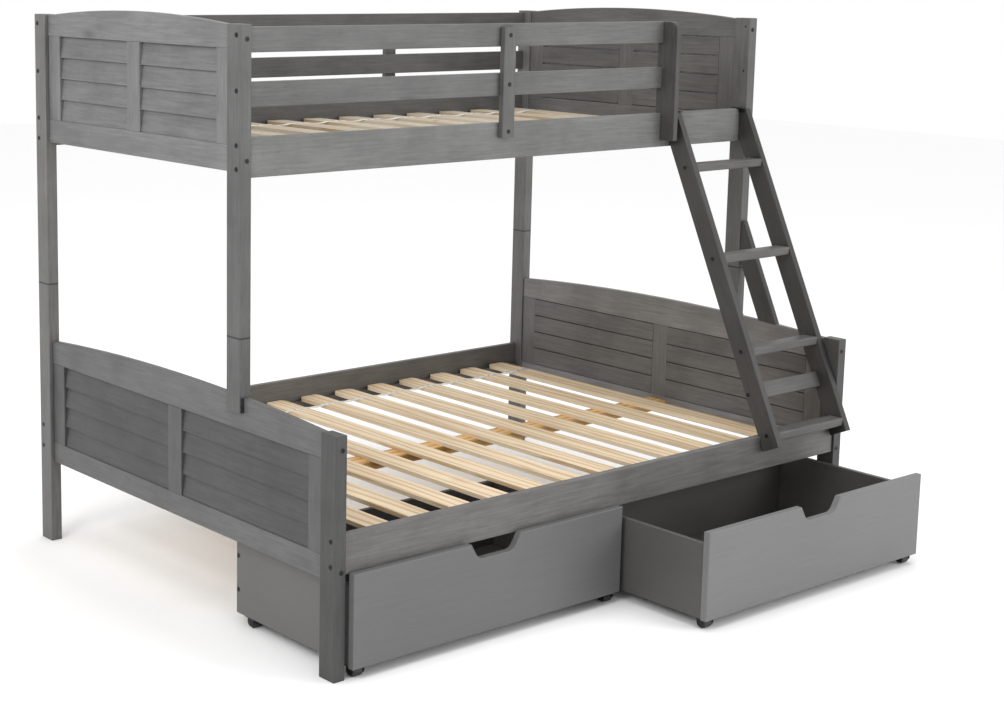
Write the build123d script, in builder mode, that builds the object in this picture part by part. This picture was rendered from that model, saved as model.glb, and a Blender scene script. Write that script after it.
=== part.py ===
"""Twin-over-full bunk bed: louvred ends, leaning ladder, two rolling under-bed drawers.

Frame: X runs along the bed, the ladder end is +X, the front is -Y and +Z is up.
The origin is on the floor, at the middle of the whole object as it stands at rest,
with the left drawer shut and the right drawer pulled out.
"""
from build123d import *
from math import atan2, cos, sin, tan
import os

# ---- driving sizes (millimetres) -------------------------------------------------
bed_length = 2000.0          # over the posts, along X
bed_width = 1440.0           # lower bed, over the posts, along Y
upper_width = 1041.0         # upper bed, over the posts, along Y
total_height = 1587.0        # top of the upper posts
post_joint_height = 791.0    # where the upper posts stand on the lower ones
lower_post_height = 620.0    # top of the short front posts

post_thickness = 35.0        # post section along X
post_depth = 59.0            # post section along Y
post_edge = 2.0              # eased corners of the posts
wood_edge = 2.0              # eased corners of the other timber

rail_thickness = 20.0
rail_height = 103.0
rail_inset = 7.0             # rail face behind the post face
lower_rail_bottom = 267.0
upper_rail_bottom = 1201.0

panel_thickness = 18.0
panel_recess = 12.0          # panel face behind the post's outer face
stile_width = 64.0
centre_stile_width = 64.0
louvre_count = 4             # boards in each bay
louvre_bottom_thickness = 14.0
louvre_top_thickness = 6.5
louvre_groove = 2.4          # V at the joints on the inner side, height on each board
louvre_groove_depth = 4.0
louvre_joint = 0.3           # open joint between one board and the next
upper_panel_bottom = 1214.0
upper_bottom_rail_height = 68.0
upper_louvre_height = 243.0
upper_arch_end = 1584.0
upper_arch_middle = 1607.0
lower_panel_bottom = 246.0
lower_bottom_rail_height = 62.0
lower_louvre_height = 242.0
lower_arch_end = 617.0
lower_arch_middle = 642.0
riser_leg = 40.0             # how far a riser's outer leg laps down over the end panel
riser_pad_thickness = 3.0    # dark pad on the front of each riser's leg

slat_count = 13
slat_width = 76.0
slat_thickness = 12.0
lower_slat_margin = 100.0    # end slats from the ends of the bed
upper_slat_margin = 75.0
slat_corner = 20.0
slat_seat = 28.0             # slat underside above the rail's lower edge
slat_clearance = 2.0         # free length at each end of a slat
cleat_width = 20.0
cleat_height = 24.0
beam_width = 70.0
beam_height = 28.0
webbing_width = 15.0
webbing_thickness = 0.8
webbing_inset = 138.0        # webbing from the slat ends

guard_top_bottom = 1516.0
guard_middle_bottom = 1379.0
guard_rail_height = 64.0
guard_ladder_gap = 26.0      # end board to the ladder's left stile
strap_width = 45.0
strap_thickness = 18.0
strap_top = 1570.0
strap_bottom = 1262.0
front_strap_start = 893.0    # from the left end of the bed
back_strap_third = 360.0     # back straps from the middle of the bed
end_board_thickness = 18.0
end_board_reach = 54.0       # how far it stands out of the rail face
end_board_bottom = 1222.0
end_board_radius = 28.0

ladder_width = 349.0
ladder_post_gap = 2.0        # right stile to the right post
ladder_stile_thickness = 22.0
ladder_stile_depth = 62.0    # square to the stile
ladder_meet = 11.0           # where the rear edge meets the rail, above the rail's lower edge
ladder_foot_height = 325.0
ladder_foot_reach = 10.9     # rear edge in front of the lower rail's face, at the foot
tread_thickness = 24.0
tread_depth = 50.0
tread_setback = 4.0
tread_rail_gap = 2.0         # bottom tread to the lower rail's face
bottom_tread_height = 376.0
first_tread_rise = 235.0
tread_rise = 264.5
stretcher_height = 486.0
stretcher_width = 48.0
stretcher_thickness = 20.0
hook_width = 12.0
hook_thickness = 3.0
hook_drop = 30.0             # behind the rail
hook_tab = 12.0              # down the stile's inner face
brace_thickness = 20.0
brace_line_top = 965.0       # where its front edge would meet the post
brace_top = 942.0            # level cut at its tip

drawer_pull = 300.0          # how far the right drawer is out at rest
drawer_front_thickness = 20.0
drawer_front_height = 245.0
drawer_front_edge = 4.0
drawer_floor_gap = 28.0      # underside of the drawer above the floor
drawer_end_gap = 11.0        # front board to the nearest post
drawer_middle_gap = 8.0      # between the two front boards
drawer_overhang = 8.0        # front board past the drawer's side
drawer_side_height = 208.0
drawer_side_thickness = 15.0
drawer_box_depth = 485.0
drawer_bottom_thickness = 6.0
drawer_bottom_raise = 7.0
notch_half_width = 88.0      # at the top edge
notch_floor_half_width = 62.0
notch_depth = 43.0
notch_corner = 30.0
notch_edge = 3.0

wheel_radius = 12.5
wheel_width = 30.0
wheel_gap = 1.0              # wheel to each cheek
wheel_rim_edge = 3.5
axle_radius = 2.5
running_clearance = 0.05
bracket_plate = 2.0
bracket_cheek = 3.0
bracket_width = 42.0
bracket_length = 44.0
cheek_length = 26.0
cheek_end_height = 5.0
caster_inset = 29.0          # caster centre from the side of the front board
front_caster_back = 8.0      # axle behind the back face of the front board
rear_caster_back = 425.0

bolt_head_radius = 6.5
bolt_head_height = 2.2
bolt_head_proud = 0.8
bolt_shank_radius = 3.0
bolt_bite = 45.0             # shank length past the first piece
socket_radius = 2.5
socket_depth = 1.6
fit_clearance = 0.1          # hole radius over shank or head radius
dowel_radius = 5.0
dowel_length = 60.0
screw_bite = 20.0

# ---- places worked out from the sizes --------------------------------------------
front_reach = drawer_pull + drawer_front_thickness
back_reach = strap_thickness - rail_inset + bolt_head_proud
y_front = front_reach - (bed_width + front_reach + back_reach) / 2
y_back = y_front + bed_width
y_upper = y_back - upper_width
x_end = bed_length / 2
lower_slat_top = lower_rail_bottom + slat_seat + slat_thickness
upper_slat_top = upper_rail_bottom + slat_seat + slat_thickness
front_lower_face = y_front + rail_inset
front_upper_face = y_upper + rail_inset
meet_height = upper_rail_bottom + ladder_meet
ladder_run = front_upper_face - front_lower_face + ladder_foot_reach
lean = atan2(ladder_run, meet_height - ladder_foot_height)
back_face = y_back - rail_inset
ladder_right_edge = x_end - post_thickness - ladder_post_gap
ladder_left_edge = ladder_right_edge - ladder_width
end_board_start = ladder_left_edge - guard_ladder_gap - end_board_thickness

SIDES = {"left": -1, "right": 1}


# ---- helpers -----------------------------------------------------------------------
def block(x_range, y_range, z_range, mode=Mode.ADD):
    """A box between two values on each axis."""
    low = [min(r) for r in (x_range, y_range, z_range)]
    high = [max(r) for r in (x_range, y_range, z_range)]
    centre = [(a + b) / 2 for a, b in zip(low, high)]
    size = [b - a for a, b in zip(low, high)]
    with Locations(tuple(centre)):
        Box(*size, mode=mode)


def from_end(side, near, far):
    """X range of something between two distances in from an end of the bed."""
    return (side * (x_end - near), side * (x_end - far))


def drill(points, axis, radius, depth):
    """Holes from each point along an axis, given as a signed letter such as '+X'."""
    turn = {"X": (0, 90, 0), "Y": (90, 0, 0), "Z": (0, 0, 0)}[axis[1]]
    way = 1 if axis[0] == "+" else -1
    step = {"X": (1, 0, 0), "Y": (0, 1, 0), "Z": (0, 0, 1)}[axis[1]]
    for point in points:
        centre = tuple(p + way * s * depth / 2 for p, s in zip(point, step))
        with Locations(centre):
            Cylinder(radius, depth, rotation=turn, mode=Mode.SUBTRACT)


def bolt_pockets(points, axis):
    """Head recess and shank hole for bolts that enter at points."""
    drill(points, axis, bolt_head_radius + fit_clearance, bolt_head_height - bolt_head_proud)
    drill(points, axis, bolt_shank_radius + fit_clearance, 200)


def bolt(point, axis, grip):
    """A socket-head bolt whose head stands slightly proud of the face at point."""
    way = 1 if axis[0] == "+" else -1
    direction = {"X": (way, 0, 0), "Y": (0, way, 0), "Z": (0, 0, way)}[axis[1]]
    outside = tuple(p - d * bolt_head_proud for p, d in zip(point, direction))
    face = Plane(origin=outside, z_dir=direction)
    with BuildSketch(face) as head:
        Circle(bolt_head_radius)
    extrude(head.sketch, amount=bolt_head_height)
    with BuildSketch(face.offset(bolt_head_height)) as shank:
        Circle(bolt_shank_radius)
    extrude(shank.sketch, amount=grip - bolt_head_height)
    with BuildSketch(face) as socket:
        RegularPolygon(socket_radius, 6)
    extrude(socket.sketch, amount=socket_depth, mode=Mode.SUBTRACT)


def arch_outline(y_low, y_high, z_base, z_end, z_middle):
    """Closed outline with a flat base and an arched top, in a Y-Z sketch."""
    with BuildLine() as outline:
        Polyline((y_low, z_end), (y_low, z_base), (y_high, z_base), (y_high, z_end))
        ThreePointArc((y_high, z_end), ((y_low + y_high) / 2, z_middle), (y_low, z_end))
    make_face(outline.edges())


def save(name, part):
    part.label = name
    export_step(part, f"parts/{name}.step")


os.makedirs("parts", exist_ok=True)

# ---- bolt places ---------------------------------------------------------------------
lower_rail_bolts = [lower_rail_bottom + 24, lower_rail_bottom + 88]
upper_rail_bolts = [upper_rail_bottom + 23, upper_rail_bottom + 83]
guard_bolts = [guard_middle_bottom + 42, guard_top_bottom + 44]
side_bolt_rows = {
    "lower_front": (front_lower_face + rail_thickness / 2, lower_rail_bolts),
    "lower_back": (back_face - rail_thickness / 2, lower_rail_bolts),
    "upper_front": (front_upper_face + rail_thickness / 2, upper_rail_bolts + guard_bolts),
    "upper_back": (back_face - rail_thickness / 2, upper_rail_bolts + guard_bolts),
}
panel_bolt_inset = panel_recess + panel_thickness / 2
upper_panel_bolts = [upper_panel_bottom + 31, upper_arch_end - 34]
lower_panel_bolts = [lower_panel_bottom + 31, lower_arch_end - 34]


def side_bolts(row, side):
    y, heights = side_bolt_rows[row]
    return [(side * x_end, y, z) for z in heights]


def panel_bolts(side, y, heights):
    return [(side * (x_end - panel_bolt_inset), y, z) for z in heights]


def into(side):
    """Drilling direction from an end of the bed towards its middle."""
    return "-X" if side > 0 else "+X"


# ---- posts ---------------------------------------------------------------------------
def dowel_holes(y_low, height):
    for side in SIDES.values():
        centre = (side * (x_end - post_thickness / 2), y_low + post_depth / 2, height)
        drill([centre], "+Z", dowel_radius + fit_clearance, dowel_length / 2)
        drill([centre], "-Z", dowel_radius + fit_clearance, dowel_length / 2)


def post_pair(y_low, z_low, z_high):
    """A left and a right post in the current part, with eased corners."""
    for side in SIDES.values():
        block(from_end(side, 0, post_thickness), (y_low, y_low + post_depth), (z_low, z_high))


with BuildPart() as lower_back_posts:
    post_pair(y_back - post_depth, 0, post_joint_height)
    fillet(lower_back_posts.edges().filter_by(Axis.Z), post_edge)
    dowel_holes(y_back - post_depth, post_joint_height)
    for side in SIDES.values():
        bolt_pockets(side_bolts("lower_back", side), into(side))
        bolt_pockets(panel_bolts(side, y_back, lower_panel_bolts), "-Y")
save("lower_back_posts", lower_back_posts.part)

with BuildPart() as upper_back_posts:
    post_pair(y_back - post_depth, post_joint_height, total_height)
    fillet(upper_back_posts.edges().filter_by(Axis.Z), post_edge)
    fillet(upper_back_posts.edges().group_by(Axis.Z)[-1], post_edge)
    dowel_holes(y_back - post_depth, post_joint_height)
    for side in SIDES.values():
        bolt_pockets(side_bolts("upper_back", side), into(side))
        bolt_pockets(panel_bolts(side, y_back, upper_panel_bolts), "-Y")
save("upper_back_posts", upper_back_posts.part)

with BuildPart() as upper_front_posts:
    post_pair(y_upper, post_joint_height, total_height)
    fillet(upper_front_posts.edges().filter_by(Axis.Z), post_edge)
    fillet(upper_front_posts.edges().group_by(Axis.Z)[-1], post_edge)
    dowel_holes(y_upper, post_joint_height)
    for side in SIDES.values():
        bolt_pockets(side_bolts("upper_front", side), into(side))
        bolt_pockets(panel_bolts(side, y_upper, upper_panel_bolts), "+Y")
save("upper_front_posts", upper_front_posts.part)

with BuildPart() as lower_front_posts:
    post_pair(y_front, 0, lower_post_height)
    fillet(lower_front_posts.edges().filter_by(Axis.Z), post_edge)
    fillet(lower_front_posts.edges().group_by(Axis.Z)[-1], post_edge)
    for side in SIDES.values():
        bolt_pockets(side_bolts("lower_front", side), into(side))
        bolt_pockets(panel_bolts(side, y_front, lower_panel_bolts), "+Y")
save("lower_front_posts", lower_front_posts.part)


def lower_arch(side, depth_near, depth_far, mode):
    """The space under the lower panel's arched top, between two depths from the bed's end."""
    near, far = sorted(from_end(side, depth_near, depth_far))
    with BuildSketch(Plane.YZ.offset(near)) as arch:
        arch_outline(y_front + post_depth, y_back - post_depth, lower_panel_bottom,
                     lower_arch_end, lower_arch_middle)
    extrude(arch.sketch, amount=far - near, mode=mode)


riser_foot = lower_arch_middle - riser_leg - 5
with BuildPart() as front_post_risers:
    post_pair(y_upper, riser_foot, post_joint_height)
    fillet(front_post_risers.edges().filter_by(Axis.Z), post_edge)
    for side in SIDES.values():
        lower_arch(side, panel_recess, post_thickness + 1, Mode.SUBTRACT)
    dowel_holes(y_upper, post_joint_height)
save("front_post_risers", front_post_risers.part)

with BuildPart() as riser_pads:
    for side in SIDES.values():
        block(from_end(side, post_edge, panel_recess - fit_clearance),
              (y_upper - riser_pad_thickness, y_upper), (riser_foot, riser_foot + riser_leg))
save("riser_pads", riser_pads.part)

with BuildPart() as post_dowels:
    for y_low in (y_upper, y_back - post_depth):
        for side in SIDES.values():
            with Locations((side * (x_end - post_thickness / 2), y_low + post_depth / 2,
                            post_joint_height)):
                Cylinder(dowel_radius, dowel_length)
    chamfer(post_dowels.edges().filter_by(GeomType.CIRCLE), 1.0)
save("post_dowels", post_dowels.part)


# ---- louvred end panels ----------------------------------------------------------------
def end_panel(name, side, y_low, y_high, base, bottom_height, louvre_height, arch_end, arch_middle):
    """One end panel as three nodes: its two rails, its stiles and its louvre boards."""
    x_near, x_far = sorted(from_end(side, panel_recess, panel_recess + panel_thickness))
    louvre_base = base + bottom_height
    louvre_top = louvre_base + louvre_height
    heights = upper_panel_bolts if arch_end > total_height / 2 else lower_panel_bolts

    with BuildPart() as rails:
        block((x_near, x_far), (y_low, y_high), (base, louvre_base))
        with BuildSketch(Plane.YZ.offset(x_near)):
            arch_outline(y_low, y_high, louvre_top, arch_end, arch_middle)
        extrude(amount=x_far - x_near)
        long_edges = rails.edges().filter_by(lambda e: e.length > 2 * stile_width)
        fillet(long_edges, wood_edge)
        drill(panel_bolts(side, y_low, heights), "+Y", bolt_shank_radius + fit_clearance, bolt_bite)
        drill(panel_bolts(side, y_high, heights), "-Y", bolt_shank_radius + fit_clearance, bolt_bite)
    save(f"{name}_panel_rails", rails.part)

    middle = (y_low + y_high) / 2
    stile_starts = [y_low, middle - centre_stile_width / 2, y_high - stile_width]
    stile_widths = [stile_width, centre_stile_width, stile_width]
    with BuildPart() as stiles:
        for start, width in zip(stile_starts, stile_widths):
            block((x_near, x_far), (start, start + width), (louvre_base, louvre_top))
        fillet(stiles.edges().filter_by(Axis.Z), wood_edge)
    save(f"{name}_panel_stiles", stiles.part)

    pitch = louvre_height / louvre_count
    inner = side * (x_end - panel_recess - panel_thickness)
    outer_low = inner + side * louvre_bottom_thickness
    outer_high = inner + side * louvre_top_thickness
    soft = inner + side * louvre_groove_depth
    bays = [(stile_starts[0] + stile_width, stile_starts[1]),
            (stile_starts[1] + centre_stile_width, stile_starts[2])]
    with BuildPart() as louvres:
        for start, end in bays:
            for row in range(louvre_count):
                z_low = louvre_base + row * pitch
                z_high = z_low + pitch - louvre_joint
                with BuildSketch(Plane.XZ.offset(-start)):
                    with BuildLine():
                        Polyline((soft, z_low), (outer_low, z_low), (outer_high, z_high),
                                 (soft, z_high), (inner, z_high - louvre_groove),
                                 (inner, z_low + louvre_groove), close=True)
                    make_face()
                extrude(amount=start - end)
    save(f"{name}_panel_louvres", louvres.part)


for end_name, side in SIDES.items():
    end_panel(f"upper_{end_name}", side, y_upper + post_depth, y_back - post_depth,
              upper_panel_bottom, upper_bottom_rail_height, upper_louvre_height,
              upper_arch_end, upper_arch_middle)
    end_panel(f"lower_{end_name}", side, y_front + post_depth, y_back - post_depth,
              lower_panel_bottom, lower_bottom_rail_height, lower_louvre_height,
              lower_arch_end, lower_arch_middle)


# ---- side rails and guard rails ----------------------------------------------------------
def side_rail(name, y_range, bottoms, height, ends, bolt_row):
    """Boards along X between the posts, drilled at each end that meets a post."""
    with BuildPart() as rail:
        for bottom in bottoms:
            block(ends, y_range, (bottom, bottom + height))
        fillet(rail.edges().filter_by(Axis.X), wood_edge)
        y, heights = side_bolt_rows[bolt_row]
        for side in SIDES.values():
            starts = [(side * (x_end - post_thickness), y, z) for z in heights]
            drill(starts, into(side), bolt_shank_radius + fit_clearance, bolt_bite)
    save(name, rail.part)


between_posts = (-x_end + post_thickness, x_end - post_thickness)
back_rail_y = (back_face - rail_thickness, back_face)
upper_front_y = (front_upper_face, front_upper_face + rail_thickness)
lower_front_y = (front_lower_face, front_lower_face + rail_thickness)
guard_span = (-x_end + post_thickness, end_board_start)
side_rail("lower_front_rail", lower_front_y, [lower_rail_bottom], rail_height, between_posts,
          "lower_front")
side_rail("lower_back_rail", back_rail_y, [lower_rail_bottom], rail_height, between_posts,
          "lower_back")
side_rail("upper_back_rail", back_rail_y, [upper_rail_bottom], rail_height, between_posts,
          "upper_back")
side_rail("front_guard_rails", upper_front_y, [guard_middle_bottom, guard_top_bottom],
          guard_rail_height, guard_span, "upper_front")
side_rail("back_guard_rails", back_rail_y, [guard_middle_bottom, guard_top_bottom],
          guard_rail_height, between_posts, "upper_back")
side_rail("upper_front_rail", upper_front_y, [upper_rail_bottom], rail_height, between_posts,
          "upper_front")

strap_bolt_heights = [strap_bottom + 17, guard_middle_bottom + guard_rail_height / 2,
                      guard_top_bottom + guard_rail_height / 2]
front_strap_x = [-x_end + front_strap_start]
back_strap_x = [-back_strap_third - strap_width / 2, back_strap_third - strap_width / 2]


def guard_straps(name, starts, y_range, bolt_face, direction):
    """Upright straps that tie the guard rails to the bed rail."""
    with BuildPart() as straps:
        for start in starts:
            block((start, start + strap_width), y_range, (strap_bottom, strap_top))
        fillet(straps.edges().filter_by(Axis.Z), wood_edge)
        for start in starts:
            points = [(start + strap_width / 2, bolt_face, z) for z in strap_bolt_heights]
            bolt_pockets(points, direction)
    save(name, straps.part)


front_strap_face = front_upper_face - strap_thickness
back_strap_face = back_face + strap_thickness
guard_straps("guard_strap", front_strap_x, (front_strap_face, front_upper_face),
             front_strap_face, "+Y")
guard_straps("back_guard_straps", back_strap_x, (back_face, back_strap_face),
             back_strap_face, "-Y")

guard_top = guard_top_bottom + guard_rail_height
end_board_front = front_upper_face - end_board_reach
with BuildPart() as guard_end_board:
    with BuildSketch(Plane.YZ.offset(guard_span[1])):
        with BuildLine():
            Polyline((end_board_front, guard_top - end_board_radius),
                     (end_board_front, end_board_bottom),
                     (front_upper_face, end_board_bottom),
                     (front_upper_face, upper_rail_bottom + rail_height),
                     (upper_front_y[1], upper_rail_bottom + rail_height),
                     (upper_front_y[1], guard_top),
                     (end_board_front + end_board_radius, guard_top))
            RadiusArc((end_board_front + end_board_radius, guard_top),
                      (end_board_front, guard_top - end_board_radius), -end_board_radius)
        make_face()
    extrude(amount=end_board_thickness)
    fillet(guard_end_board.edges().filter_by(lambda e: abs(e.center().Y - end_board_front) < 0.01),
           wood_edge)
save("guard_end_board", guard_end_board.part)


# ---- slats, cleats, beam and webbing -------------------------------------------------------
def slat_deck(name, y_low, y_high, slat_top, margin):
    """Pine slats across the bed, with rounded corners, and the cleats under their ends."""
    length = y_high - y_low - 2 * slat_clearance
    slat_start = margin - x_end
    slat_pitch = (-2 * slat_start - slat_width) / (slat_count - 1)
    with BuildPart() as slats:
        with BuildSketch(Plane.XY.offset(slat_top - slat_thickness)):
            for index in range(slat_count):
                x = slat_start + index * slat_pitch + slat_width / 2
                with Locations((x, (y_low + y_high) / 2)):
                    RectangleRounded(slat_width, length, slat_corner)
        extrude(amount=slat_thickness)
    save(f"{name}_slats", slats.part)

    cleat_top = slat_top - slat_thickness
    with BuildPart() as cleats:
        for y_range in ((y_low, y_low + cleat_width), (y_high - cleat_width, y_high)):
            block(between_posts, y_range, (cleat_top - cleat_height, cleat_top))
        chamfer(cleats.edges().filter_by(Axis.X).group_by(Axis.Z)[0], wood_edge / 2)
    save(f"{name}_cleats", cleats.part)


slat_deck("lower", lower_front_y[1], back_rail_y[0], lower_slat_top, lower_slat_margin)
slat_deck("upper", upper_front_y[1], back_rail_y[0], upper_slat_top, upper_slat_margin)

with BuildPart() as centre_beam:
    reach = x_end - panel_recess - panel_thickness
    middle_y = (y_front + y_back) / 2
    beam_top = lower_slat_top - slat_thickness
    block((-reach, reach), (middle_y - beam_width / 2, middle_y + beam_width / 2),
          (beam_top - beam_height, beam_top))
    fillet(centre_beam.edges().filter_by(Axis.X), wood_edge)
save("centre_beam", centre_beam.part)

with BuildPart() as slat_webbing:
    for y_low, slat_top, margin in ((lower_front_y[1], lower_slat_top, lower_slat_margin),
                                    (upper_front_y[1], upper_slat_top, upper_slat_margin)):
        for y in (y_low + webbing_inset, back_rail_y[0] - webbing_inset):
            block((margin - x_end, x_end - margin), (y - webbing_width / 2, y + webbing_width / 2),
                  (slat_top, slat_top + webbing_thickness))
save("slat_webbing", slat_webbing.part)

# ---- ladder --------------------------------------------------------------------------------
stile_run = ladder_stile_depth / cos(lean)     # stile depth measured level
ladder_left = (ladder_left_edge, ladder_left_edge + ladder_stile_thickness)
ladder_right = (ladder_right_edge - ladder_stile_thickness, ladder_right_edge)
ladder_inside = (ladder_left[1], ladder_right[0])
rail_top_upper = upper_rail_bottom + rail_height
rail_top_lower = lower_rail_bottom + rail_height
tread_heights = [bottom_tread_height, bottom_tread_height + first_tread_rise,
                 bottom_tread_height + first_tread_rise + tread_rise,
                 bottom_tread_height + first_tread_rise + 2 * tread_rise]


def rear_edge(height):
    """Y of the ladder stiles' rear edge at a height."""
    return front_upper_face - (meet_height - height) * tan(lean)


def rear_edge_height(y):
    """Height at which the rear edge reaches a Y."""
    return meet_height - (front_upper_face - y) / tan(lean)


def ladder_bolt_points(x):
    points = [(x, rear_edge(z) - stile_run / 2, z) for z in tread_heights]
    middle = rear_edge(stretcher_height) - stretcher_thickness / 2 / cos(lean)
    return points + [(x, middle, stretcher_height)]


def ladder_stile(name, x_range, outer_x, direction):
    """A leaning stile: plumb cut against the upper rail, seat notch over the lower rail."""
    seat_top = rail_top_lower + fit_clearance
    foot = (rear_edge(ladder_foot_height), ladder_foot_height)
    toe = (foot[0] - ladder_stile_depth * cos(lean), foot[1] + ladder_stile_depth * sin(lean))
    with BuildPart() as stile:
        with BuildSketch(Plane.YZ.offset(x_range[0])):
            with BuildLine():
                Polyline((front_upper_face, rail_top_upper),
                         (rear_edge(rail_top_upper) - stile_run, rail_top_upper),
                         toe,
                         foot,
                         (front_lower_face, rear_edge_height(front_lower_face)),
                         (front_lower_face, seat_top),
                         (rear_edge(seat_top), seat_top),
                         (front_upper_face, meet_height), close=True)
            make_face()
        extrude(amount=x_range[1] - x_range[0])
        long_edges = stile.edges().filter_by(lambda e: e.length > 600)
        fillet(long_edges, wood_edge)
        bolt_pockets(ladder_bolt_points(outer_x), direction)
    save(name, stile.part)


ladder_stile("ladder_stile_left", ladder_left, ladder_left[0], "+X")
ladder_stile("ladder_stile_right", ladder_right, ladder_right[1], "-X")

with BuildPart() as ladder_treads:
    for height in tread_heights:
        front = rear_edge(height) - stile_run + tread_setback
        if height == bottom_tread_height:
            front = front_lower_face - tread_rail_gap - tread_depth
        block(ladder_inside, (front, front + tread_depth),
              (height - tread_thickness / 2, height + tread_thickness / 2))
    fillet(ladder_treads.edges().filter_by(Axis.X), wood_edge * 2)
    for x, direction in ((ladder_inside[0], "+X"), (ladder_inside[1], "-X")):
        drill(ladder_bolt_points(x)[:-1], direction, bolt_shank_radius + fit_clearance, bolt_bite)
save("ladder_treads", ladder_treads.part)

with BuildPart() as ladder_stretcher:
    half = stretcher_width / 2
    along = (sin(lean), cos(lean))
    square = (-cos(lean), sin(lean))
    base = (rear_edge(stretcher_height), stretcher_height)
    low = tuple(b - half * a for b, a in zip(base, along))
    high = tuple(b + half * a for b, a in zip(base, along))
    with BuildSketch(Plane.YZ.offset(ladder_inside[0])):
        with BuildLine():
            Polyline(low, high,
                     tuple(h + stretcher_thickness * s for h, s in zip(high, square)),
                     tuple(l + stretcher_thickness * s for l, s in zip(low, square)), close=True)
        make_face()
    extrude(amount=ladder_inside[1] - ladder_inside[0])
    fillet(ladder_stretcher.edges().filter_by(Axis.X), wood_edge)
    for x, direction in ((ladder_inside[0], "+X"), (ladder_inside[1], "-X")):
        drill(ladder_bolt_points(x)[-1:], direction, bolt_shank_radius + fit_clearance, bolt_bite)
save("ladder_stretcher", ladder_stretcher.part)

with BuildPart() as ladder_hooks:
    for inner_x, way in ((ladder_inside[0], 1), (ladder_inside[1], -1)):
        across = (inner_x, inner_x + way * hook_width)
        front_tab = front_upper_face - 20
        behind = upper_front_y[1] + fit_clearance
        block(across, (front_tab, behind + hook_thickness),
              (rail_top_upper, rail_top_upper + hook_thickness))
        block(across, (behind, behind + hook_thickness),
              (rail_top_upper - hook_drop, rail_top_upper))
        block((inner_x, inner_x + way * hook_thickness), (front_tab, front_upper_face),
              (rail_top_upper - hook_tab, rail_top_upper))
save("ladder_hooks", ladder_hooks.part)

# ---- brace beside the ladder -------------------------------------------------------------
with BuildPart() as ladder_side_brace:
    x_low, x_high = sorted(from_end(1, panel_recess, panel_recess + brace_thickness))
    rear_top = brace_line_top - stile_run / tan(lean)
    tip_y = y_upper - (brace_line_top - brace_top) * tan(lean)
    foot_z = lower_panel_bottom + lower_bottom_rail_height + lower_louvre_height
    with BuildSketch(Plane.YZ.offset(x_low)):
        with BuildLine():
            Polyline((tip_y, brace_top), (y_upper, brace_top), (y_upper, rear_top),
                     (y_upper - (rear_top - foot_z) * tan(lean), foot_z),
                     (y_upper - (brace_line_top - foot_z) * tan(lean), foot_z), close=True)
        make_face()
    extrude(amount=x_high - x_low)
    fillet(ladder_side_brace.edges().filter_by(lambda e: e.length > 200), wood_edge)
    lower_arch(1, 0, post_thickness + 1, Mode.SUBTRACT)
save("ladder_side_brace", ladder_side_brace.part)


# ---- drawers -------------------------------------------------------------------------------
drawer_room = bed_length - 2 * post_thickness - 2 * drawer_end_gap - drawer_middle_gap
drawer_width = drawer_room / 2
drawer_top = drawer_floor_gap + drawer_front_height
caster_spots = {"front": front_caster_back, "rear": rear_caster_back}


def drawer(name, x_low, y_out):
    """A drawer's wooden pieces and its casters; y_out is the back face of its front board."""
    x_high = x_low + drawer_width
    middle = (x_low + x_high) / 2
    y_rear = y_out + drawer_box_depth
    z_low = drawer_floor_gap
    box_low, box_high = x_low + drawer_overhang, x_high - drawer_overhang
    side_top = z_low + drawer_side_height
    screw_heights = [z_low + 65, z_low + 159]

    with BuildPart() as front:
        block((x_low, x_high), (y_out - drawer_front_thickness, y_out), (z_low, drawer_top))
        notch_floor = drawer_top - notch_depth
        with BuildSketch(Plane.XZ.offset(-y_out)):
            with BuildLine():
                FilletPolyline((middle - notch_half_width, drawer_top),
                               (middle - notch_floor_half_width, notch_floor),
                               (middle + notch_floor_half_width, notch_floor),
                               (middle + notch_half_width, drawer_top), radius=notch_corner)
                Line((middle + notch_half_width, drawer_top), (middle - notch_half_width, drawer_top))
            make_face()
        extrude(amount=drawer_front_thickness, mode=Mode.SUBTRACT)
        face = front.faces().sort_by(Axis.Y)[0]
        fillet(face.edges(), notch_edge)
        fillet(front.faces().sort_by(Axis.Y)[-1].edges().group_by(Axis.Z)[-1], notch_edge / 2)
    save(f"{name}_drawer_front", front.part)

    with BuildPart() as sides:
        for x in (box_low, box_high - drawer_side_thickness):
            block((x, x + drawer_side_thickness), (y_out, y_rear), (z_low, side_top))
        fillet(sides.edges().filter_by(Axis.Y).group_by(Axis.Z)[-1], wood_edge)
        y_screw = y_rear - drawer_side_thickness / 2
        bolt_pockets([(box_low, y_screw, z) for z in screw_heights], "+X")
        bolt_pockets([(box_high, y_screw, z) for z in screw_heights], "-X")
    save(f"{name}_drawer_sides", sides.part)

    inner = (box_low + drawer_side_thickness, box_high - drawer_side_thickness)
    with BuildPart() as back:
        block(inner, (y_rear - drawer_side_thickness, y_rear), (z_low, side_top))
        fillet(back.edges().filter_by(Axis.X).group_by(Axis.Z)[-1], wood_edge)
        for x, direction in ((inner[0], "+X"), (inner[1], "-X")):
            points = [(x, y_screw, z) for z in screw_heights]
            drill(points, direction, bolt_shank_radius + fit_clearance, screw_bite)
    save(f"{name}_drawer_back", back.part)

    with BuildPart() as bottom:
        base = z_low + drawer_bottom_raise
        block(inner, (y_out, y_rear - drawer_side_thickness), (base, base + drawer_bottom_thickness))
    save(f"{name}_drawer_bottom", bottom.part)

    with BuildPart() as screws:
        for z in screw_heights:
            grip = drawer_side_thickness + screw_bite
            bolt((box_low, y_screw, z), "+X", grip)
            bolt((box_high, y_screw, z), "-X", grip)
    save(f"{name}_drawer_screws", screws.part)

    casters(name, (x_low + caster_inset, x_high - caster_inset), y_out)


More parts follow.
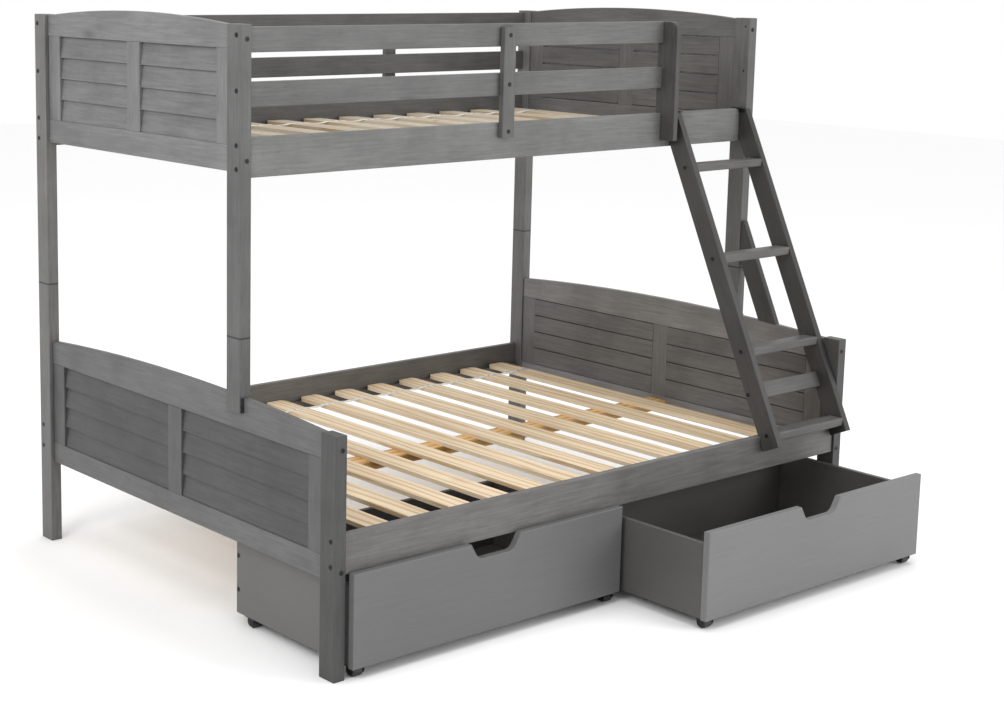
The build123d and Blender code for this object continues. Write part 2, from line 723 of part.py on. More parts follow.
def casters(name, x_centres, y_out):
    """Brackets, axles and wheels of one drawer."""
    spots = [(x, y_out + back) for back in caster_spots.values() for x in x_centres]
    cheek_inside = wheel_width / 2 + wheel_gap
    with BuildPart() as brackets:
        for x, y in spots:
            block((x - bracket_width / 2, x + bracket_width / 2),
                  (y - bracket_length / 2, y + bracket_length / 2),
                  (drawer_floor_gap - bracket_plate, drawer_floor_gap))
            for way in (-1, 1):
                block((x + way * cheek_inside, x + way * (cheek_inside + bracket_cheek)),
                      (y - cheek_length / 2, y + cheek_length / 2),
                      (cheek_end_height, drawer_floor_gap - bracket_plate))
        lowest = brackets.edges().filter_by(Axis.X).group_by(Axis.Z)[0]
        fillet(lowest, cheek_length / 2 - 1)
        drill([(x - bracket_width / 2, y, wheel_radius) for x, y in spots], "+X",
              axle_radius + running_clearance, bracket_width)
    save(f"{name}_caster_brackets", brackets.part)

    with BuildPart() as axles:
        for x, y in spots:
            with Locations((x, y, wheel_radius)):
                Cylinder(axle_radius, 2 * (cheek_inside + bracket_cheek), rotation=(0, 90, 0))
    save(f"{name}_caster_axles", axles.part)

    for spot_name, back in caster_spots.items():
        with BuildPart() as wheels:
            for x in x_centres:
                with Locations((x, y_out + back, wheel_radius)):
                    Cylinder(wheel_radius, wheel_width, rotation=(0, 90, 0))
            fillet(wheels.edges().filter_by(GeomType.CIRCLE), wheel_rim_edge)
            drill([(x - wheel_width, y_out + back, wheel_radius) for x in x_centres], "+X",
                  axle_radius + running_clearance, 2 * wheel_width)
        save(f"{name}_{spot_name}_wheels", wheels.part)


drawer("left", -x_end + post_thickness + drawer_end_gap, y_front)
drawer("right", drawer_middle_gap / 2, y_front - drawer_pull)

# ---- frame and ladder bolts ------------------------------------------------------------------
with BuildPart() as frame_bolts:
    for side in SIDES.values():
        for row in side_bolt_rows:
            for point in side_bolts(row, side):
                if row == "upper_front" and side > 0 and point[2] > rail_top_upper:
                    continue
                bolt(point, into(side), post_thickness + bolt_bite - fit_clearance)
        grip = post_depth + bolt_bite - fit_clearance
        for point in panel_bolts(side, y_front, lower_panel_bolts):
            bolt(point, "+Y", grip)
        for point in panel_bolts(side, y_upper, upper_panel_bolts):
            bolt(point, "+Y", grip)
        for point in panel_bolts(side, y_back, lower_panel_bolts + upper_panel_bolts):
            bolt(point, "-Y", grip)
    for start, face, direction in (
            [(x, front_strap_face, "+Y") for x in front_strap_x]
            + [(x, back_strap_face, "-Y") for x in back_strap_x]):
        for z in strap_bolt_heights:
            bolt((start + strap_width / 2, face, z), direction, strap_thickness)
save("frame_bolts", frame_bolts.part)

with BuildPart() as ladder_bolts:
    grip = ladder_stile_thickness + bolt_bite - fit_clearance
    for x, direction in ((ladder_left[0], "+X"), (ladder_right[1], "-X")):
        for point in ladder_bolt_points(x):
            bolt(point, direction, grip)
save("ladder_bolts", ladder_bolts.part)
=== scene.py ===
"""Grey timber bunk bed with bare pine slats, a leaning ladder and two rolling drawers.

Everything is in metres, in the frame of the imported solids. The timber, the fasteners and the
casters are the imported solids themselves, with eased edges and wood materials. The webbing over
the slats is made here.
"""
import math
import random

import bmesh
import bpy
from mathutils import Matrix, Vector


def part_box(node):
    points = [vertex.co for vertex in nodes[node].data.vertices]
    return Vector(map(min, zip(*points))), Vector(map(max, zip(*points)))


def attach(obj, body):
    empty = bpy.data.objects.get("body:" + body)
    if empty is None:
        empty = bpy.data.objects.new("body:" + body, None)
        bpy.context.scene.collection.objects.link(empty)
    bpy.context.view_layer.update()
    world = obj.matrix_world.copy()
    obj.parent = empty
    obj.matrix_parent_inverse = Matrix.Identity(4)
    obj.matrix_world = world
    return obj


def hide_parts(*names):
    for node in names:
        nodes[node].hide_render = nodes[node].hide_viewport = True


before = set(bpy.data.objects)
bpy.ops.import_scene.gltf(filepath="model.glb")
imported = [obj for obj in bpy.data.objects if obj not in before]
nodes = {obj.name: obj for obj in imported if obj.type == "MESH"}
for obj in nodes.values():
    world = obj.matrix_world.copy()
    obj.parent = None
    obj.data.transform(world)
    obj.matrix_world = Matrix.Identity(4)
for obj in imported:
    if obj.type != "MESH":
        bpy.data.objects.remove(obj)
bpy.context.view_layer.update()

# ---- camera ------------------------------------------------------------------------
CAMERA_LENS = 64.108
CAMERA_SENSOR = 36.0
CAMERA_SHIFT = (0.17, -0.10)
CAMERA_YAW = 0.66877                 # from +Y towards +X
CAMERA_PITCH = -0.16093              # below the horizon
CAMERA_ROLL = 0.01072
CAMERA_FROM_CORNER = Vector((-2.5845, -3.2445, 1.7184))  # from the foot of the front left post
CAMERA_FAR = 60.0

# ---- sizes of what is made here ----------------------------------------------------------
SOFT_EDGE = 0.0012
SLAT_EDGE = 0.0015
SMALL_EDGE = 0.0006
STEEL_EDGE = 0.0004
EDGE_STEPS = 2
EDGE_ANGLE = math.radians(40)        # edges flatter than this stay as they are
JOINT_LINE = 0.0032                  # half the painted shade line where two posts meet
WEB_THICKNESS = 0.0008
WEB_SAG = 0.0035
WEB_STEPS = 6                        # pieces of the tape's line between two slats
WEB_ACROSS = (-1, -0.33, 0.33, 1)    # points across the tape, as shares of half its width
STAPLE_SPREAD = 0.0132               # from the slat's middle to each staple
STAPLE_LENGTH = 0.010
STAPLE_WIRE = 0.0006
STAPLE_TURN = 16                     # most that a staple is askew, in degrees
WELD = 0.00001                       # corners nearer than this are one corner
BETWEEN_DECKS = 1.0                  # a height above the lower slats and below the upper ones

# ---- floor and light ---------------------------------------------------------------------
FLOOR_HALF = 14.0
FLOOR_DROP = 0.0005                  # below the feet, so the two never flicker
FLOOR_TONE = (0.96, 0.96, 0.96, 1.0)
FLOOR_ROUGHNESS = 0.9
SKY_STRENGTH = 1.0
LIGHTS = (                           # name, place, target, size and power
    ("key", (-4.6, -1.2, 3.4), (-0.4, 0, 1.0), (2.0, 2.0), 85),
    ("front", (2.6, -4.8, 2.0), (0.5, -0.6, 0.4), (2.4, 1.8), 75),
    ("top", (0.2, 0.0, 4.6), (0, 0, 0), (2.6, 2.6), 60),
)

# ---- linear greys and depths of the finishes and of the painted shade --------------------
STAIN = (0.116, 0.147, 0.181)        # dark, middle and light streaks of the timber
STAIN_WORN = 0.27
STAIN_KNOT = 0.045
# grey of the painted shade line in the seam where two posts meet
JOINT_SHADE = 0.018
PAINT = (0.162, 0.186)               # dark and light streaks of the drawers
PAINT_WORN = 0.28
SHADE_REACH = 0.007                  # how far the painted shade (ambient occlusion) reaches out of a joint
WORN_WIDTH = 0.0016                  # of rubbed edges
KNOT_HEART = (0.16, 0.075, 0.035)
KNOT_HALO = (0.50, 0.31, 0.15)


# ---- node helpers ------------------------------------------------------------------------
class Graph:
    """A material's node tree, with one short call for each kind of node it uses."""

    def __init__(self, name):
        self.material = bpy.data.materials.new(name)
        self.material.use_nodes = True
        self.tree = self.material.node_tree
        self.shader = self.tree.nodes["Principled BSDF"]

    def add(self, kind, **values):
        node = self.tree.nodes.new(kind)
        for key, value in values.items():
            setattr(node, key, value)
        return node

    def link(self, source, target):
        self.tree.links.new(source, target)

    def place(self, scale, offset=(0, 0, 0), source=None):
        """Object coordinates, stretched by scale and moved by offset."""
        mapping = self.add("ShaderNodeMapping")
        mapping.inputs["Scale"].default_value = scale
        mapping.inputs["Location"].default_value = offset
        if source is None:
            source = self.add("ShaderNodeTexCoord").outputs["Object"]
        self.link(source, mapping.inputs["Vector"])
        return mapping.outputs["Vector"]

    def noise(self, vector, scale, detail=4.0, roughness=0.55, distortion=0.0):
        node = self.add("ShaderNodeTexNoise")
        node.inputs["Scale"].default_value = scale
        node.inputs["Detail"].default_value = detail
        node.inputs["Roughness"].default_value = roughness
        node.inputs["Distortion"].default_value = distortion
        self.link(vector, node.inputs["Vector"])
        return node.outputs["Fac"]

    def wave(self, vector, scale, direction, distortion, detail_scale=1.5):
        node = self.add("ShaderNodeTexWave", wave_type="BANDS", bands_direction=direction)
        node.inputs["Scale"].default_value = scale
        node.inputs["Distortion"].default_value = distortion
        node.inputs["Detail"].default_value = 3.0
        node.inputs["Detail Scale"].default_value = detail_scale
        self.link(vector, node.inputs["Vector"])
        return node.outputs["Fac"]

    def ramp(self, value, stops):
        node = self.add("ShaderNodeValToRGB")
        while len(node.color_ramp.elements) < len(stops):
            node.color_ramp.elements.new(0.5)
        for element, (position, colour) in zip(node.color_ramp.elements, stops):
            element.position = position
            element.color = (*colour, 1.0)
        self.link(value, node.inputs["Fac"])
        return node.outputs["Color"]

    def band(self, value, low, high, out_low=0.0, out_high=1.0):
        """The value's run from low to high, stretched to run from out_low to out_high."""
        node = self.add("ShaderNodeMapRange")
        limits = {"From Min": low, "From Max": high, "To Min": out_low, "To Max": out_high}
        for key, number in limits.items():
            node.inputs[key].default_value = number
        self.link(value, node.inputs["Value"])
        return node.outputs["Result"]

    def mix(self, factor, first, second, blend="MIX"):
        node = self.add("ShaderNodeMix", data_type="RGBA", blend_type=blend)
        for socket, value in ((node.inputs[0], factor), (node.inputs[6], first), (node.inputs[7], second)):
            if isinstance(value, bpy.types.NodeSocket):
                self.link(value, socket)
            elif isinstance(value, (int, float)):
                socket.default_value = value
            else:
                socket.default_value = (*value, 1.0)
        return node.outputs[2]

    def maths(self, operation, first, second):
        node = self.add("ShaderNodeMath", operation=operation)
        for socket, value in zip(node.inputs, (first, second)):
            if isinstance(value, bpy.types.NodeSocket):
                self.link(value, socket)
            else:
                socket.default_value = value
        return node.outputs[0]

    def edge_wear(self, width):
        """1 at outer edges and 0 on flat faces."""
        bevel = self.add("ShaderNodeBevel", samples=4)
        bevel.inputs["Radius"].default_value = width
        geometry = self.add("ShaderNodeNewGeometry")
        dot = self.add("ShaderNodeVectorMath", operation="DOT_PRODUCT")
        self.link(bevel.outputs["Normal"], dot.inputs[0])
        self.link(geometry.outputs["Normal"], dot.inputs[1])
        return self.band(dot.outputs["Value"], 0.995, 0.86)

    def knots(self, vector, scale):
        """Small scattered knots: 1 at each heart, fading out round it."""
        node = self.add("ShaderNodeTexVoronoi", feature="F1")
        node.inputs["Scale"].default_value = scale
        self.link(vector, node.inputs["Vector"])
        return self.band(node.outputs["Distance"], 0.075, 0.015)

    def occlusion_shade(self, reach):
        """Ambient occlusion for painted shade: 1 in the open and 0 deep in joints and grooves."""
        node = self.add("ShaderNodeAmbientOcclusion", samples=4)
        node.inputs["Distance"].default_value = reach
        return self.band(node.outputs["AO"], 0.35, 0.85)

    def line_across(self, source, height, half_width):
        """1 along a thin level line, fading out above and below it."""
        split = self.add("ShaderNodeSeparateXYZ")
        self.link(source, split.inputs["Vector"])
        away = self.maths("ABSOLUTE", self.maths("SUBTRACT", split.outputs["Z"], height), 0.0)
        return self.band(away, half_width, half_width * 0.4)

    def bump(self, height, strength, distance):
        node = self.add("ShaderNodeBump")
        node.inputs["Strength"].default_value = strength
        node.inputs["Distance"].default_value = distance
        self.link(height, node.inputs["Height"])
        self.link(node.outputs["Normal"], self.shader.inputs["Normal"])

    def colour(self, socket):
        self.link(socket, self.shader.inputs["Base Color"])

    def roughness(self, value, low, high):
        self.link(self.band(value, 0.3, 0.7, low, high), self.shader.inputs["Roughness"])


# Each pine has a pale, a straw and an amber colour.
PINE = ((0.78, 0.645, 0.465), (0.72, 0.575, 0.39), (0.58, 0.41, 0.235))
# the upper slats are the same pine as the lower ones, darkened as painted shade
SHADED_UPPER_PINE = ((0.48, 0.425, 0.34), (0.44, 0.38, 0.285), (0.36, 0.275, 0.175))
BEAM_PINE = ((0.70, 0.44, 0.17), (0.62, 0.36, 0.12), (0.44, 0.22, 0.06))
KNOT_STRETCH = {"X": (0.5, 1.0, 1.0), "Y": (1.0, 0.5, 1.0), "Z": (1.0, 1.0, 0.5)}
GRAIN = {                            # stretch of the grain along each axis
    "X": (1.0, 16.0, 16.0),
    "Y": (16.0, 1.0, 16.0),
    "Z": (16.0, 16.0, 1.0),
}


def grey(value, warm=0.0):
    """A grey of that linear brightness, a little towards brown where warm is above 0."""
    return (value * (1.0 + 0.05 * warm), value, value * (1.0 - 0.05 * warm))


def shade_and_wear(graph, base, worn, amount):
    """Painted shade darkening joints and grooves, and paler wood where edges have rubbed through."""
    # painted shade: ambient occlusion darkens the colour in joints and grooves
    joints = graph.ramp(graph.occlusion_shade(SHADE_REACH), ((0.0, (0.42,) * 3), (0.9, (1.0,) * 3)))
    base = graph.mix(1.0, base, joints, "MULTIPLY")
    wear = graph.edge_wear(WORN_WIDTH)
    return graph.mix(graph.maths("MULTIPLY", wear, amount), base, worn)


def grey_timber(name, along, lit_tone, seed, tilt, warm, joint):
    """Grey-stained solid timber: fine pores and soft clouds of stain along the grain.

    A painted shade line goes round it at the height of a joint, where one is given, for the shadow in the
    seam between two posts.
    """
    graph = Graph(name)
    source = graph.add("ShaderNodeTexCoord").outputs["Object"]
    if tilt:
        turn = graph.add("ShaderNodeMapping")
        turn.inputs["Rotation"].default_value = (tilt, 0, 0)
        graph.link(source, turn.inputs["Vector"])
        source = turn.outputs["Vector"]
    long_way = graph.place(GRAIN[along], (seed, seed * 1.7, seed * 0.6), source)
    broad = graph.noise(long_way, 0.9, 3.0, 0.5, 0.4)
    fibre_scale = tuple(26.0 if s > 1 else 1.4 for s in GRAIN[along])
    streaks = graph.noise(graph.place(fibre_scale, (seed, 0, seed), source), 6.0, 5.0, 0.6, 0.1)
    pore_scale = tuple(60.0 if s > 1 else 5.0 for s in GRAIN[along])
    pores = graph.noise(graph.place(pore_scale, (0, 0, seed), source), 9.0, 2.0, 0.5)
    cloud = graph.noise(graph.place((1, 1, 1), (seed, 0, 0), source), 5.0, 4.0, 0.6)

    # lit_tone: the stain's grey, made lighter or darker for each node as painted light and shade
    dark, mid, light = (grey(lit_tone * value, warm) for value in STAIN)
    base = graph.ramp(streaks, ((0.30, dark), (0.50, mid), (0.72, light)))
    shade = graph.ramp(broad, ((0.30, (0.90,) * 3), (0.52, (1.0,) * 3), (0.75, (1.08,) * 3)))
    base = graph.mix(0.9, base, shade, "MULTIPLY")
    soft = graph.ramp(cloud, ((0.32, (0.80,) * 3), (0.5, (1.0,) * 3), (0.68, (1.14,) * 3)))
    base = graph.mix(0.85, base, soft, "MULTIPLY")
    speck = graph.ramp(pores, ((0.30, (0.72,) * 3), (0.42, (1.0,) * 3)))
    base = graph.mix(0.55, base, speck, "MULTIPLY")
    knots = graph.knots(graph.place(KNOT_STRETCH[along], (seed * 0.37, seed * 0.21, 0.3), source), 3.1)
    base = graph.mix(graph.maths("MULTIPLY", knots, 0.55), base, grey(lit_tone * STAIN_KNOT, warm))
    # painted shade in joints and grooves, and paler rubbed edges
    base = shade_and_wear(graph, base, grey(lit_tone * STAIN_WORN, 0.6), 0.35)
    if joint is not None:
        # painted shade: a dark line at the seam where two posts meet
        base = graph.mix(graph.line_across(source, joint, JOINT_LINE), base, grey(JOINT_SHADE))
    graph.colour(base)
    graph.roughness(streaks, 0.42, 0.56)
    graph.shader.inputs["Specular IOR Level"].default_value = 0.40
    height = graph.maths("ADD", graph.maths("MULTIPLY", streaks, 0.6), pores)
    graph.bump(height, 0.16, 0.0005)
    return graph.material


def drawer_paint(name, along, lit_tone, warm):
    """The drawers' smoother grey finish, with a faint fine grain."""
    graph = Graph(name)
    fine = tuple(60.0 if s > 1 else 1.6 for s in GRAIN[along])
    streaks = graph.noise(graph.place(fine), 5.0, 4.0, 0.6)
    cloud = graph.noise(graph.place((1, 1, 1)), 1.8, 2.0)
    # lit_tone: the paint's grey, made lighter or darker for each piece as painted light and shade
    dark, light = (grey(lit_tone * value, warm) for value in PAINT)
    base = graph.ramp(streaks, ((0.35, dark), (0.68, light)))
    soft = graph.ramp(cloud, ((0.35, (0.96,) * 3), (0.65, (1.04,) * 3)))
    base = graph.mix(1.0, base, soft, "MULTIPLY")
    # painted shade in joints and grooves, and paler rubbed edges
    graph.colour(shade_and_wear(graph, base, grey(lit_tone * PAINT_WORN, 0.3), 0.25))
    graph.roughness(streaks, 0.46, 0.56)
    graph.bump(streaks, 0.08, 0.0003)
    return graph.material


def bare_pine(name, along, seed, palette):
    """Planed pine: pale sapwood, amber latewood lines, knots and a few grey streaks."""
    graph = Graph(name)
    source = graph.add("ShaderNodeTexCoord").outputs["Object"]
    stretch = {"Y": (1.0, 0.09, 1.0), "X": (0.09, 1.0, 1.0)}[along]
    across = {"Y": "X", "X": "Y"}[along]
    lie = graph.place(stretch, (seed, seed, 0), source)
    rings = graph.wave(lie, 11.0, across, 7.0, 1.4)
    fine = tuple(220.0 if share == 1.0 else 5.0 for share in stretch)
    fibre = graph.noise(graph.place(fine, (seed, 0, 0), source), 1.0, 3.0, 0.6)
    wide = tuple(9.0 if share == 1.0 else 0.8 for share in stretch)
    board = graph.noise(graph.place(wide, (seed, 3, 0), source), 1.0, 2.0)
    pale, straw, amber = palette
    base = graph.ramp(rings, ((0.10, pale), (0.45, straw), (0.66, pale), (0.93, amber)))
    shade = graph.ramp(board, ((0.30, (0.80, 0.75, 0.68)), (0.48, (1.0,) * 3), (0.70, (1.08, 1.07, 1.05))))
    base = graph.mix(0.8, base, shade, "MULTIPLY")
    lines = graph.ramp(fibre, ((0.35, (0.86, 0.83, 0.78)), (0.6, (1.0,) * 3)))
    base = graph.mix(0.5, base, lines, "MULTIPLY")
    knots = graph.add("ShaderNodeTexVoronoi", feature="F1")
    knots.inputs["Scale"].default_value = 3.4
    oval = tuple(1.0 if share == 1.0 else 0.55 for share in stretch)
    graph.link(graph.place(oval, (seed, 0.4, 0), source), knots.inputs["Vector"])
    spot = graph.band(knots.outputs["Distance"], 0.045, 0.016)
    halo = graph.band(knots.outputs["Distance"], 0.11, 0.03)
    base = graph.mix(graph.maths("MULTIPLY", halo, 0.45), base, KNOT_HALO)
    base = graph.mix(graph.maths("MULTIPLY", spot, 0.85), base, KNOT_HEART)
    graph.colour(base)
    graph.roughness(fibre, 0.50, 0.66)
    graph.bump(graph.maths("ADD", fibre, graph.maths("MULTIPLY", rings, 0.4)), 0.20, 0.0005)
    return graph.material


def black_steel(name):
    """Black-oxide steel, rubbed brighter on its edges."""
    graph = Graph(name)
    grime = graph.noise(graph.place((1, 1, 1)), 260.0, 3.0)
    base = graph.ramp(grime, ((0.35, (0.012, 0.012, 0.013)), (0.7, (0.035, 0.034, 0.034))))
    wear = graph.edge_wear(0.0006)
    graph.colour(graph.mix(graph.maths("MULTIPLY", wear, 0.55), base, (0.22, 0.21, 0.20)))
    graph.shader.inputs["Metallic"].default_value = 0.75
    graph.roughness(grime, 0.30, 0.48)
    graph.bump(grime, 0.12, 0.0002)
    return graph.material


def black_plastic(name):
    """Moulded black nylon with a fine matt grain."""
    graph = Graph(name)
    grain = graph.noise(graph.place((1, 1, 1)), 900.0, 2.0)
    dust = graph.noise(graph.place((1, 1, 1)), 40.0, 3.0)
    base = graph.ramp(dust, ((0.35, (0.010, 0.010, 0.011)), (0.75, (0.030, 0.030, 0.030))))
    wear = graph.edge_wear(0.0008)
    graph.colour(graph.mix(graph.maths("MULTIPLY", wear, 0.35), base, (0.10, 0.10, 0.10)))
    graph.roughness(grain, 0.42, 0.60)
    graph.bump(grain, 0.15, 0.0002)
    return graph.material


def webbing_cloth(name):
    """Off-white woven tape: a fine basket weave along X."""
    graph = Graph(name)
    warp = graph.wave(graph.place((1, 1, 1)), 260.0, "X", 0.0)
    weft = graph.wave(graph.place((1, 1, 1)), 420.0, "Y", 0.0)
    weave = graph.maths("MULTIPLY", warp, weft)
    fuzz = graph.noise(graph.place((1, 1, 1)), 500.0, 3.0)
    base = graph.ramp(weave, ((0.0, (0.60, 0.585, 0.55)), (0.6, (0.86, 0.85, 0.82))))
    fuzzy = graph.ramp(fuzz, ((0.3, (0.8,) * 3), (0.7, (1.0,) * 3)))
    graph.colour(graph.mix(0.35, base, fuzzy, "MULTIPLY"))
    graph.shader.inputs["Roughness"].default_value = 0.85
    graph.shader.inputs["Sheen Weight"].default_value = 0.25
    graph.bump(weave, 0.35, 0.0004)
    return graph.material


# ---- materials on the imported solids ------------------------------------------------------
def paint(node, material):
    """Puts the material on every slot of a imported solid."""
    obj = nodes[node]
    if not obj.material_slots:
        obj.data.materials.append(material)
    for slot in obj.material_slots:
        slot.link = "OBJECT"
        slot.material = material


def soften(node, width):
    """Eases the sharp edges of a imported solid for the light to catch."""
    bevel = nodes[node].modifiers.new("eased edges", "BEVEL")
    bevel.width = width
    bevel.segments = EDGE_STEPS
    bevel.limit_method = "ANGLE"
    bevel.angle_limit = EDGE_ANGLE
    bevel.use_clamp_overlap = True
    bevel.harden_normals = True


LEAN = math.radians(24.8)            # of the ladder's stiles and brace, from upright
SEED_STEP = 3.1                      # keeps the grain of each node different
timber = {                           # grain direction, brightness and warmth of each node; the brightness mixes the stain's grey with painted light and shade
    "lower_back_posts": ("Z", 0.78, 0.4), "upper_back_posts": ("Z", 0.86, 0.4),
    "upper_front_posts": ("Z", 0.63, 0.2), "lower_front_posts": ("Z", 0.36, 0.3),
    "front_post_risers": ("Z", 0.60, 0.2),
    "upper_left_panel_rails": ("Y", 1.03, 0.0), "upper_right_panel_rails": ("Y", 0.67, 0.5),
    "lower_left_panel_rails": ("Y", 0.67, 0.0), "lower_right_panel_rails": ("Y", 1.15, 0.5),
    "upper_left_panel_louvres": ("Y", 0.92, 0.0), "upper_right_panel_louvres": ("Y", 0.58, 0.8),
    "lower_left_panel_louvres": ("Y", 0.40, 0.0), "lower_right_panel_louvres": ("Y", 0.83, 0.5),
    "upper_left_panel_stiles": ("Z", 0.99, 0.0), "upper_right_panel_stiles": ("Z", 0.63, 0.8),
    "lower_left_panel_stiles": ("Z", 0.53, 0.0), "lower_right_panel_stiles": ("Z", 0.90, 0.5),
    "lower_front_rail": ("X", 0.86, 0.6), "lower_back_rail": ("X", 0.76, 1.2),
    "upper_front_rail": ("X", 0.97, 0.2), "upper_back_rail": ("X", 0.60, 0.6),
    "front_guard_rails": ("X", 0.75, 0.2), "back_guard_rails": ("X", 0.55, 0.6),
    "guard_strap": ("Z", 0.62, 0.3), "back_guard_straps": ("Z", 0.62, 0.4),
    "guard_end_board": ("Z", 0.345, 0.6),
    "upper_cleats": ("X", 0.6, 0.6), "lower_cleats": ("X", 0.6, 0.6),
    "ladder_treads": ("X", 0.62, 0.8), "ladder_stretcher": ("X", 0.62, 0.8),
    "ladder_stile_left": ("Z", 0.31, 0.6), "ladder_stile_right": ("Z", 0.21, 0.6),
    "ladder_side_brace": ("Z", 0.29, 0.6),
}
stacked_posts = {"lower_back_posts", "upper_back_posts", "upper_front_posts", "front_post_risers"}
leaning = {"ladder_stile_left", "ladder_stile_right", "ladder_side_brace"}
post_joint = max(corner[2] for corner in nodes["lower_back_posts"].bound_box)
for index, (node, (along, lit_tone, warm)) in enumerate(timber.items()):
    tilt = LEAN if node in leaning else 0.0
    joint = post_joint if node in stacked_posts else None
    paint(node, grey_timber(f"grey timber {node}", along, lit_tone, SEED_STEP * index, tilt, warm, joint))
    soften(node, SOFT_EDGE)

pine_x = bare_pine("pine beam", "X", 2.0, BEAM_PINE)
for node, seed, palette in (("upper_slats", 0.0, SHADED_UPPER_PINE), ("lower_slats", 5.0, PINE)):
    paint(node, bare_pine(f"pine {node}", "Y", seed, palette))
    soften(node, SLAT_EDGE)
for node in ("centre_beam", "post_dowels"):
    paint(node, pine_x)
    soften(node, SMALL_EDGE)

# the drawers' back and bottom are darkened as painted shade inside the drawers
back_paint = drawer_paint("drawer back", "X", 0.42, 0.6)
board_paint = drawer_paint("drawer board", "X", 0.36, 0.6)
steel = black_steel("black steel")
plastic = black_plastic("black nylon")
# one grey paint on both drawers; their fronts and sides differ in brightness as painted light and shade
for side, front_lit_tone, side_lit_tone in (("left", 0.66, 0.62), ("right", 0.82, 0.40)):
    front_paint = drawer_paint(f"{side} drawer front", "X", front_lit_tone, 0.0)
    side_paint = drawer_paint(f"{side} drawer sides", "Y", side_lit_tone, 0.8)
    for piece, material in (("drawer_front", front_paint), ("drawer_sides", side_paint),
                            ("drawer_back", back_paint), ("drawer_bottom", board_paint)):
        paint(f"{side}_{piece}", material)
        soften(f"{side}_{piece}", SOFT_EDGE)
    for piece in ("drawer_screws", "caster_axles", "caster_brackets"):
        paint(f"{side}_{piece}", steel)
        soften(f"{side}_{piece}", STEEL_EDGE)
    for piece in ("front_wheels", "rear_wheels"):
        paint(f"{side}_{piece}", plastic)
for node in ("frame_bolts", "ladder_bolts", "ladder_hooks"):
    paint(node, steel)
    soften(node, STEEL_EDGE)
# black pads where the front face of each riser's leg looks dark; what makes that face dark is not known
paint("riser_pads", plastic)
soften("riser_pads", SMALL_EDGE)


# ---- webbing over the slats ----------------------------------------------------------------
def islands(node):
    """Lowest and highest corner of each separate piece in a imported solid's mesh."""
    mesh = bmesh.new()
    mesh.from_mesh(nodes[node].data)
    bmesh.ops.remove_doubles(mesh, verts=mesh.verts, dist=WELD)
    seen = set()
    boxes = []
    for start in mesh.verts:
        if start in seen:
            continue
        stack = [start]
        seen.add(start)
        found = []
        while stack:
            vertex = stack.pop()
            found.append(vertex.co.copy())
            for edge in vertex.link_edges:
                other = edge.other_vert(vertex)
                if other not in seen:
                    seen.add(other)
                    stack.append(other)
        low = Vector([min(p[i] for p in found) for i in range(3)])
        high = Vector([max(p[i] for p in found) for i in range(3)])
        boxes.append((low, high))
    mesh.free()
    return boxes


def web_line(slats, top):
    """Points (x, z) along the tape: flat on each slat and sagging a little between slats."""
    points = []
    for index, (low, high) in enumerate(slats):
        points.append((low.x, top))
        points.append((high.x, top))
        if index + 1 < len(slats):
            reach = slats[index + 1][0].x - high.x
            for step in range(1, WEB_STEPS):
                share = step / WEB_STEPS
                points.append((high.x + reach * share, top - WEB_SAG * math.sin(math.pi * share)))
    return points


def web_strip(name, line, y, width, material):
    """A thin flat tape that follows the line, with its middle at y."""
    mesh = bmesh.new()
    rows = []
    for x, z in line:
        rows.append([mesh.verts.new((x, y + way * width / 2, z)) for way in WEB_ACROSS])
    for first, second in zip(rows, rows[1:]):
        for column in range(len(WEB_ACROSS) - 1):
            beyond = column + 1
            mesh.faces.new((first[column], second[column], second[beyond], first[beyond]))
    data = bpy.data.meshes.new(name)
    mesh.to_mesh(data)
    mesh.free()
    obj = bpy.data.objects.new(name, data)
    bpy.context.collection.objects.link(obj)
    solid = obj.modifiers.new("thickness", "SOLIDIFY")
    solid.thickness = WEB_THICKNESS
    solid.offset = 1.0
    obj.data.materials.append(material)
    for polygon in data.polygons:
        polygon.use_smooth = True
    return obj


def staples(name, slats, y, top, material):
    """Two wire staples through the tape on every slat, each slightly askew."""
    rng = random.Random(name)
    mesh = bmesh.new()
    for low, high in slats:
        middle = (low.x + high.x) / 2
        for way in (-1, 1):
            turn = Matrix.Rotation(math.radians(rng.uniform(-STAPLE_TURN, STAPLE_TURN)), 4, "Z")
            centre = Vector((middle + way * STAPLE_SPREAD, y, top + WEB_THICKNESS + STAPLE_WIRE / 2))
            size = Matrix.Diagonal((STAPLE_WIRE * 2, STAPLE_LENGTH, STAPLE_WIRE, 1.0))
            bmesh.ops.create_cube(mesh, size=1.0, matrix=Matrix.Translation(centre) @ turn @ size)
    data = bpy.data.meshes.new(name)
    mesh.to_mesh(data)
    mesh.free()
    obj = bpy.data.objects.new(name, data)
    bpy.context.collection.objects.link(obj)
    obj.data.materials.append(material)
    bevel = obj.modifiers.new("rounded wire", "BEVEL")
    bevel.width = STAPLE_WIRE / 3
    bevel.segments = 2
    return obj


cloth = webbing_cloth("woven tape")
web_boxes = islands("slat_webbing")
for number, (low, high) in enumerate(sorted(web_boxes, key=lambda box: (box[0].z, box[0].y))):
    deck = "upper" if low.z > BETWEEN_DECKS else "lower"
    slats = sorted(islands(f"{deck}_slats"), key=lambda box: box[0].x)
    centre = (low.y + high.y) / 2
    width = high.y - low.y
    line = web_line(slats, low.z)
    strip = web_strip(f"{deck}_webbing_{number}", line, centre, width, cloth)
    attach(strip, "bed")
    pins = staples(f"{deck}_staples_{number}", slats, centre, low.z, steel)
    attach(pins, "bed")
    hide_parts("slat_webbing")


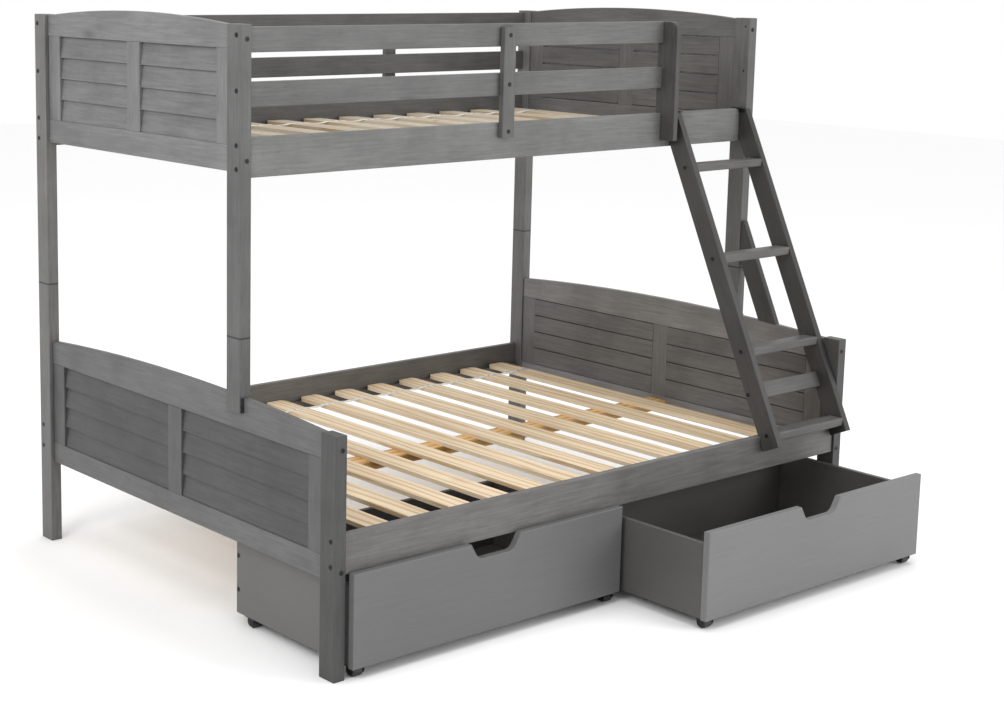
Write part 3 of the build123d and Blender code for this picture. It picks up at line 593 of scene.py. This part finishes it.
# ---- floor, light and camera -----------------------------------------------------------------
def emission_world(strength):
    world = bpy.data.worlds.new("studio")
    world.use_nodes = True
    background = world.node_tree.nodes["Background"]
    background.inputs["Color"].default_value = (1.0, 1.0, 1.0, 1.0)
    background.inputs["Strength"].default_value = strength
    bpy.context.scene.world = world


def studio_floor():
    mesh = bmesh.new()
    bmesh.ops.create_grid(mesh, x_segments=1, y_segments=1, size=FLOOR_HALF)
    data = bpy.data.meshes.new("floor")
    mesh.to_mesh(data)
    mesh.free()
    floor = bpy.data.objects.new("floor", data)
    bpy.context.collection.objects.link(floor)
    floor.location.z = -FLOOR_DROP
    graph = Graph("studio floor")
    graph.shader.inputs["Base Color"].default_value = FLOOR_TONE
    graph.shader.inputs["Roughness"].default_value = FLOOR_ROUGHNESS
    floor.data.materials.append(graph.material)


def area_light(name, place, target, size, power):
    data = bpy.data.lights.new(name, "AREA")
    data.shape = "RECTANGLE"
    data.size, data.size_y = size
    data.energy = power
    light = bpy.data.objects.new(name, data)
    bpy.context.collection.objects.link(light)
    light.location = place
    aim = Vector(target) - Vector(place)
    light.rotation_euler = aim.to_track_quat("-Z", "Y").to_euler()


def studio_camera():
    data = bpy.data.cameras.new("camera")
    data.lens = CAMERA_LENS
    data.sensor_width = CAMERA_SENSOR
    data.shift_x, data.shift_y = CAMERA_SHIFT
    data.clip_end = CAMERA_FAR
    camera = bpy.data.objects.new("camera", data)
    bpy.context.collection.objects.link(camera)
    corner = Vector(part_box("lower_front_posts")[0])
    forward = Vector((math.sin(CAMERA_YAW) * math.cos(CAMERA_PITCH),
                      math.cos(CAMERA_YAW) * math.cos(CAMERA_PITCH),
                      math.sin(CAMERA_PITCH)))
    level = Vector((math.cos(CAMERA_YAW), -math.sin(CAMERA_YAW), 0.0))
    up = level.cross(forward)
    right = math.cos(CAMERA_ROLL) * level + math.sin(CAMERA_ROLL) * up
    top = right.cross(forward)
    place = corner + CAMERA_FROM_CORNER
    turn = Matrix((right, top, -forward)).transposed().to_4x4()
    camera.matrix_world = Matrix.Translation(place) @ turn
    bpy.context.scene.camera = camera


emission_world(SKY_STRENGTH)
studio_floor()
for light in LIGHTS:
    area_light(*light)
studio_camera()
bpy.context.scene.view_settings.view_transform = "Standard"
